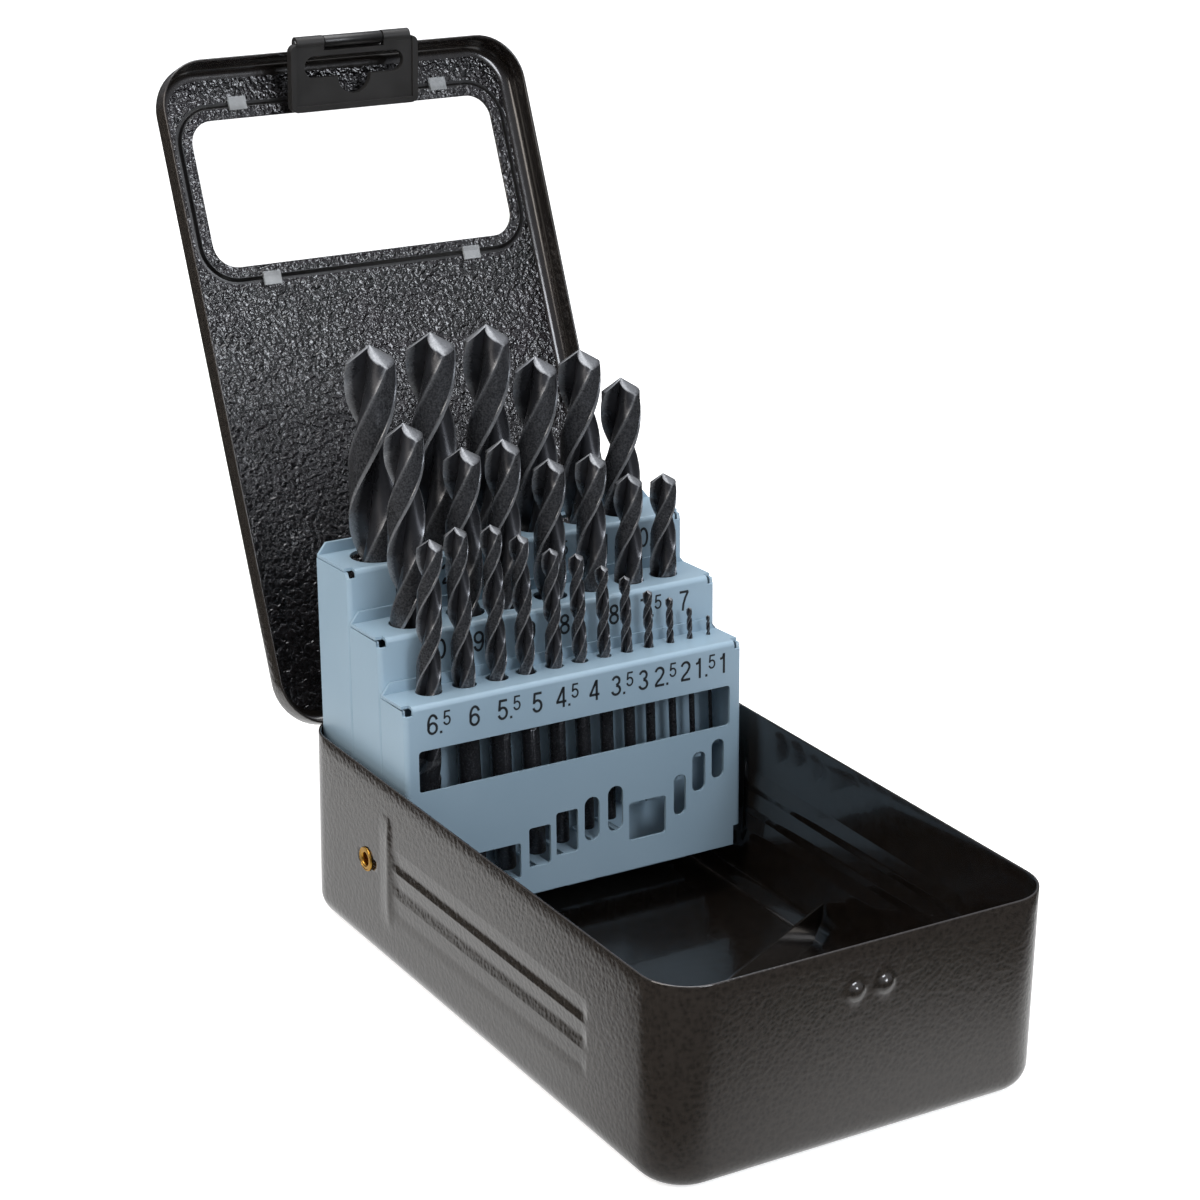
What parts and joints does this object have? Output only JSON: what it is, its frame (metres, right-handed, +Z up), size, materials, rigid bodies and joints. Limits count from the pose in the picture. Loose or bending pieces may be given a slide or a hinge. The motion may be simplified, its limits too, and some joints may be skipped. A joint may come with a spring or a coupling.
{
  "type": "drill bit case",
  "caption": "Pressed steel box with an open hinged lid, a window pane, a hanging latch and a folding stepped rack that holds a graded set of twist drills.",
  "frame": {"origin": "centre of the base's underside", "axes": "+X to the right, +Y to the rear where the lid hinges, +Z up; at rest the lid is open, the rack stands up and the latch hangs down"},
  "size_m": [0.1082, 0.2606, 0.2123],
  "materials": {
    "enamel": "glossy hammered stoving enamel, dark brown",
    "enamel_inside": "glossy stoving enamel, near black",
    "rack_lacquer": "satin pale blue-grey lacquer on sheet steel",
    "brass": "bright brass",
    "plated_steel": "zinc plated",
    "clear_plastic": "clear glossy sheet",
    "moulded_plastic": "matt black moulding",
    "black_oxide": "black oxide with ground lips"
  },
  "bodies": {
    "base": {"base_shell": "enamel", "stop_plate": "enamel_inside", "hinge_leaf": "enamel", "hinge_pin": "plated_steel", "eyelet_left": "brass", "eyelet_right": "brass", "spacer_left": "plated_steel", "spacer_right": "plated_steel"},
    "lid": {"lid_shell": "enamel_inside", "window_pane": "clear_plastic", "latch_pin": "plated_steel"},
    "latch": {"latch": "moulded_plastic"},
    "rack": {"rack_front_tier": "rack_lacquer", "rack_middle_tier": "rack_lacquer", "rack_rear_tier": "rack_lacquer", "rack_floor_plate": "rack_lacquer", "drill_6_5": "black_oxide", "drill_6_0": "black_oxide", "drill_5_5": "black_oxide", "drill_5_0": "black_oxide", "drill_4_5": "black_oxide", "drill_4_0": "black_oxide", "drill_3_5": "black_oxide", "drill_3_0": "black_oxide", "drill_2_5": "black_oxide", "drill_2_0": "black_oxide", "drill_1_5": "black_oxide", "drill_1_0": "black_oxide", "drill_10_0": "black_oxide", "drill_9_5": "black_oxide", "drill_9_0": "black_oxide", "drill_8_5": "black_oxide", "drill_8_0": "black_oxide", "drill_7_5": "black_oxide", "drill_7_0": "black_oxide", "drill_13_0": "black_oxide", "drill_12_5": "black_oxide", "drill_12_0": "black_oxide", "drill_11_5": "black_oxide", "drill_11_0": "black_oxide", "drill_10_5": "black_oxide"}
  },
  "joints": [
    {"name": "lid_hinge", "type": "hinge", "parent": "base", "child": "lid", "pos_m": [0, 0.0898, 0.0464], "axis": [1, 0, 0], "range_deg": [0, 114]},
    {"name": "rack_pivot", "type": "hinge", "parent": "base", "child": "rack", "pos_m": [0, 0.0522, 0.0264], "axis": [1, 0, 0], "range_deg": [0, 92.5]},
    {"name": "latch_hang", "type": "hinge", "parent": "lid", "child": "latch", "pos_m": [0.002, 0.1624, 0.21045], "axis": [1, 0, 0], "range_deg": [-194, 0]}
  ],
  "couplings": [
    {"joint": "rack_pivot", "follows": "lid_hinge", "ratio": 0.8114},
    {"joint": "latch_hang", "follows": "lid_hinge", "ratio": -1}
  ]
}
